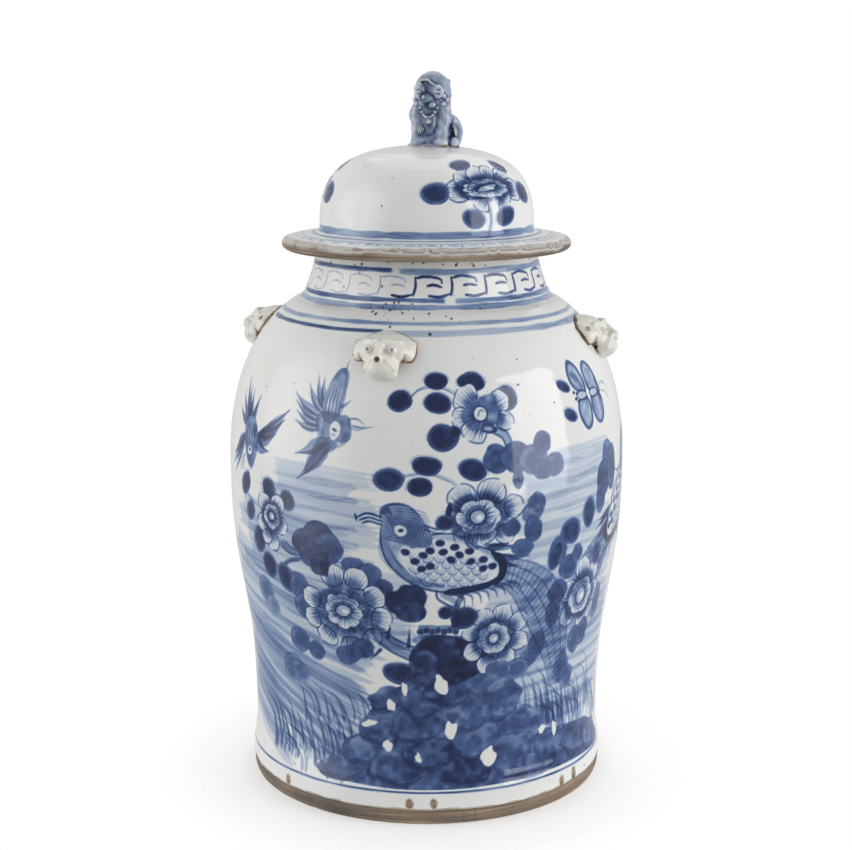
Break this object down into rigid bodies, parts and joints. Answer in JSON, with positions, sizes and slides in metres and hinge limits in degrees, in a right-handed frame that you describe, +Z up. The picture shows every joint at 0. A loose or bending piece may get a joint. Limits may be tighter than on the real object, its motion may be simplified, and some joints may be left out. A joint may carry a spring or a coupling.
{
  "type": "ginger jar",
  "caption": "Lidded ceramic ginger jar with painted blue decoration, mask lugs with cord loops, and a domed lift-off lid with a lion-dog finial, for storage or display.",
  "frame": {"origin": "centre of the circle that the foot ring stands on", "axes": "+Z up along the jar's axis, -Y towards the front mask lug, which the lion-dog faces"},
  "size_m": [0.27, 0.27, 0.4832],
  "materials": {
    "glazed_body": "glossy clear glaze over cobalt painting on white slip",
    "glazed_lid": "glossy clear glaze over cobalt painting on white slip",
    "glazed_lugs": "glossy cream-white glaze with bare clay edges",
    "bare_clay": "unglazed matt stoneware clay",
    "blue_glaze": "glossy pooled blue glaze"
  },
  "bodies": {
    "jar": {"foot_ring": "bare_clay", "base_disc": "glazed_body", "lower_body": "glazed_body", "upper_body": "glazed_body", "neck": "glazed_body", "mask_lug_front": "glazed_lugs", "mask_lug_right": "glazed_lugs", "mask_lug_back": "glazed_lugs", "mask_lug_left": "glazed_lugs"},
    "lid": {"lid_flange": "glazed_lid", "lid_dome": "glazed_lid", "lid_locating_ring": "bare_clay", "finial_plinth": "blue_glaze", "finial_lion_dog": "blue_glaze"}
  },
  "joints": [
    {"name": "lid_lift", "type": "slide", "parent": "jar", "child": "lid", "axis": [0, 0, 1], "range_m": [0, 0.12]}
  ]
}
